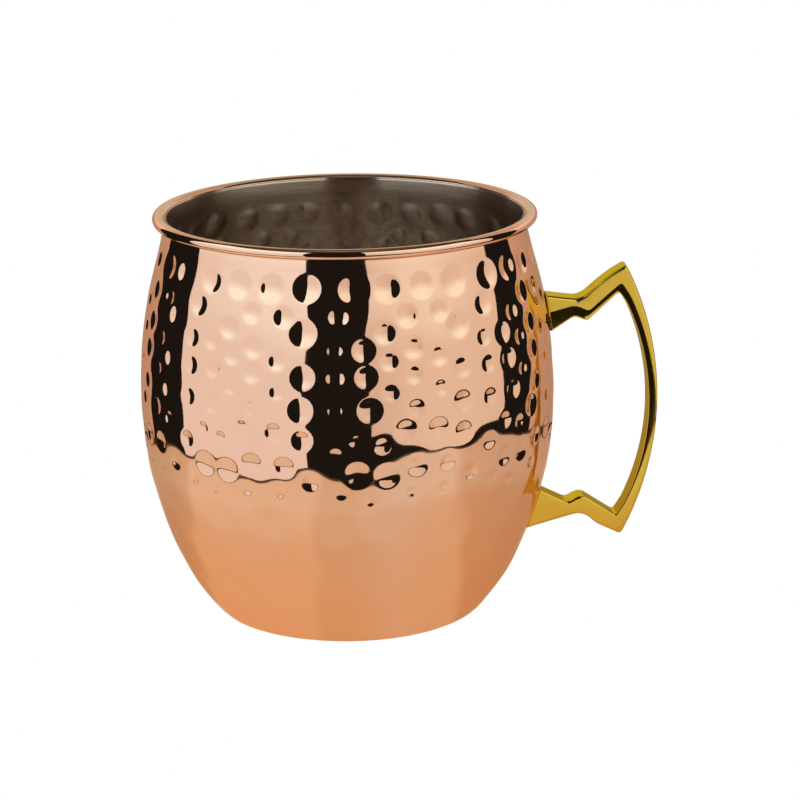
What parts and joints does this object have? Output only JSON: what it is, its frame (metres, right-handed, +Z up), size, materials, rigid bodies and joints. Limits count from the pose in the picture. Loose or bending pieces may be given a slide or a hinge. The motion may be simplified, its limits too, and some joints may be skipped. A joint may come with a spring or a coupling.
{
  "type": "mug",
  "caption": "Barrel-bellied hammered copper mug with a rolled rim, a steel lining and a cast brass loop handle brazed to its side.",
  "frame": {"origin": "centre of the flat base, on the surface the mug stands on", "axes": "+Z up along the mug's axis; +X from the axis out through the handle"},
  "size_m": [0.1204, 0.096, 0.095],
  "materials": {
    "polished_copper": "polished copper, hammered on the upper two thirds",
    "brushed_steel": "brushed round the axis",
    "polished_brass": "polished casting",
    "braze_metal": "dull, as flowed"
  },
  "bodies": {
    "root": {"copper_jacket": "polished_copper", "steel_lining": "brushed_steel", "handle": "polished_brass", "upper_braze": "braze_metal", "lower_braze": "braze_metal"}
  },
  "joints": []
}
